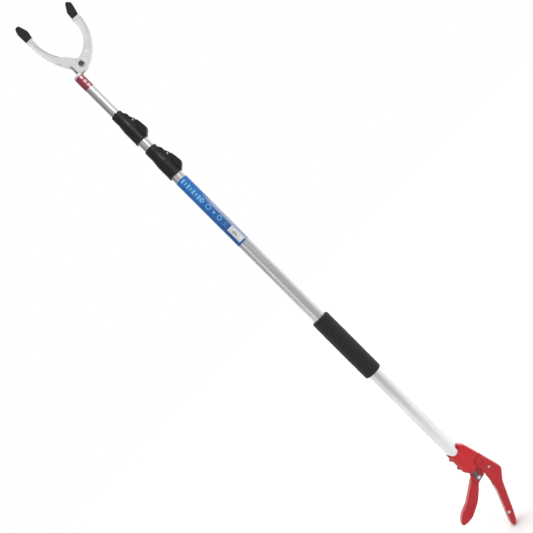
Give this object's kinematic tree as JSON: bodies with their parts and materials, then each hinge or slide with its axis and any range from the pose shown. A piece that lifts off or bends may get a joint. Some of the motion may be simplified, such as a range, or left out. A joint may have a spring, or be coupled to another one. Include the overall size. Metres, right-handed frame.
{
  "type": "telescopic long-reach gripper",
  "caption": "Long-reach gripper: trigger grip, telescopic aluminium pole with flip clamps, and a fixed and a pivoting rubber-tipped jaw.",
  "frame": {"origin": "centre of the foam hand grip on the pole's axis", "axes": "+Z along the pole towards the jaws, +X towards the moving jaw and the clamp levers, so the trigger is on -X"},
  "size_m": [0.2006, 0.043, 1.5163],
  "materials": {
    "tube": "satin drawn aluminium",
    "cast_alloy": "bright die-cast, lightly polished",
    "foam": "closed-cell foam",
    "black_plastic": "fine matte texture",
    "grey_plastic": "smooth",
    "red_paint": "glossy moulded red",
    "red_paint_bright": "glossy red coat",
    "dark_steel": "blackened steel",
    "zinc_steel": "zinc plated",
    "tip_rubber": "matte moulded rubber",
    "blue_film": "printed film",
    "red_film": "printed film"
  },
  "bodies": {
    "grip": {"outer_tube": "tube", "foam_grip": "foam", "pole_label": "blue_film", "front_collar": "red_paint_bright", "collar_screws": "dark_steel", "grip_shell_left": "red_paint", "grip_shell_right": "red_paint", "shell_screws": "zinc_steel", "trigger_pin": "zinc_steel", "rod_bush": "black_plastic", "return_spring": "zinc_steel", "lower_clamp_body": "black_plastic", "lower_clamp_pin": "zinc_steel", "lower_clamp_shoe": "grey_plastic"},
    "lower_lever": {"lower_clamp_lever": "black_plastic"},
    "trigger": {"trigger": "red_paint"},
    "lower_pull": {"rod_end": "dark_steel", "lower_pull_tube": "tube", "lower_clutch": "black_plastic"},
    "link": {"pull_link": "dark_steel", "link_pins": "zinc_steel"},
    "middle_pole": {"middle_tube": "tube", "middle_foot": "black_plastic", "upper_clamp_body": "black_plastic", "upper_clamp_pin": "zinc_steel", "upper_clamp_shoe": "grey_plastic"},
    "upper_lever": {"upper_clamp_lever": "black_plastic"},
    "middle_pull": {"middle_pull_tube": "tube", "middle_clutch": "black_plastic"},
    "inner_pole": {"inner_tube": "tube", "inner_foot": "black_plastic", "head_label": "red_film", "head_rivets": "tube", "fixed_jaw": "cast_alloy", "fixed_jaw_cap": "tip_rubber", "jaw_bolt": "dark_steel", "jaw_washer": "zinc_steel", "jaw_nut": "zinc_steel"},
    "upper_pull": {"upper_pull_rod": "dark_steel", "jaw_fork": "dark_steel", "fork_pin": "zinc_steel"},
    "moving_jaw": {"moving_jaw": "cast_alloy", "moving_jaw_cap": "tip_rubber"}
  },
  "joints": [
    {"name": "trigger_hinge", "type": "hinge", "parent": "grip", "child": "trigger", "pos_m": [0.026, 0, -0.3775], "axis": [0, -1, 0], "range_deg": [0, 31.5], "stiffness_Nm_per_rad": 1.2, "springref_deg": -34.38},
    {"name": "lower_pull_slide", "type": "slide", "parent": "grip", "child": "lower_pull", "axis": [0, 0, -1], "range_m": [0, 0.0145], "deforming": ["return_spring"]},
    {"name": "link_hinge", "type": "hinge", "parent": "lower_pull", "child": "link", "pos_m": [0, 0, -0.3675], "axis": [0, -1, 0], "range_deg": [0, 28]},
    {"name": "middle_pole_slide", "type": "slide", "parent": "grip", "child": "middle_pole", "axis": [0, 0, 1], "range_m": [0, 0.72]},
    {"name": "inner_pole_slide", "type": "slide", "parent": "middle_pole", "child": "inner_pole", "axis": [0, 0, 1], "range_m": [0, 0.72]},
    {"name": "lower_lever_hinge", "type": "hinge", "parent": "grip", "child": "lower_lever", "pos_m": [0.01925, 0, 0.566], "axis": [0, -1, 0], "range_deg": [0, 105]},
    {"name": "upper_lever_hinge", "type": "hinge", "parent": "middle_pole", "child": "upper_lever", "pos_m": [0.0175, 0, 0.67], "axis": [0, -1, 0], "range_deg": [0, 105]},
    {"name": "middle_pull_slide", "type": "slide", "parent": "middle_pole", "child": "middle_pull", "axis": [0, 0, -1], "range_m": [0, 0.0145]},
    {"name": "upper_pull_slide", "type": "slide", "parent": "inner_pole", "child": "upper_pull", "axis": [0, 0, -1], "range_m": [0, 0.0145]},
    {"name": "jaw_hinge", "type": "hinge", "parent": "inner_pole", "child": "moving_jaw", "pos_m": [0.0258, 0, 0.834], "axis": [0, -1, 0], "range_deg": [0, 42]}
  ],
  "couplings": [
    {"joint": "lower_pull_slide", "follows": "trigger_hinge", "m_per_rad": 0.02555},
    {"joint": "link_hinge", "follows": "trigger_hinge", "ratio": 0.875},
    {"joint": "middle_pull_slide", "follows": "trigger_hinge", "m_per_rad": 0.02555},
    {"joint": "upper_pull_slide", "follows": "trigger_hinge", "m_per_rad": 0.02555},
    {"joint": "jaw_hinge", "follows": "trigger_hinge", "ratio": 1.3016}
  ]
}
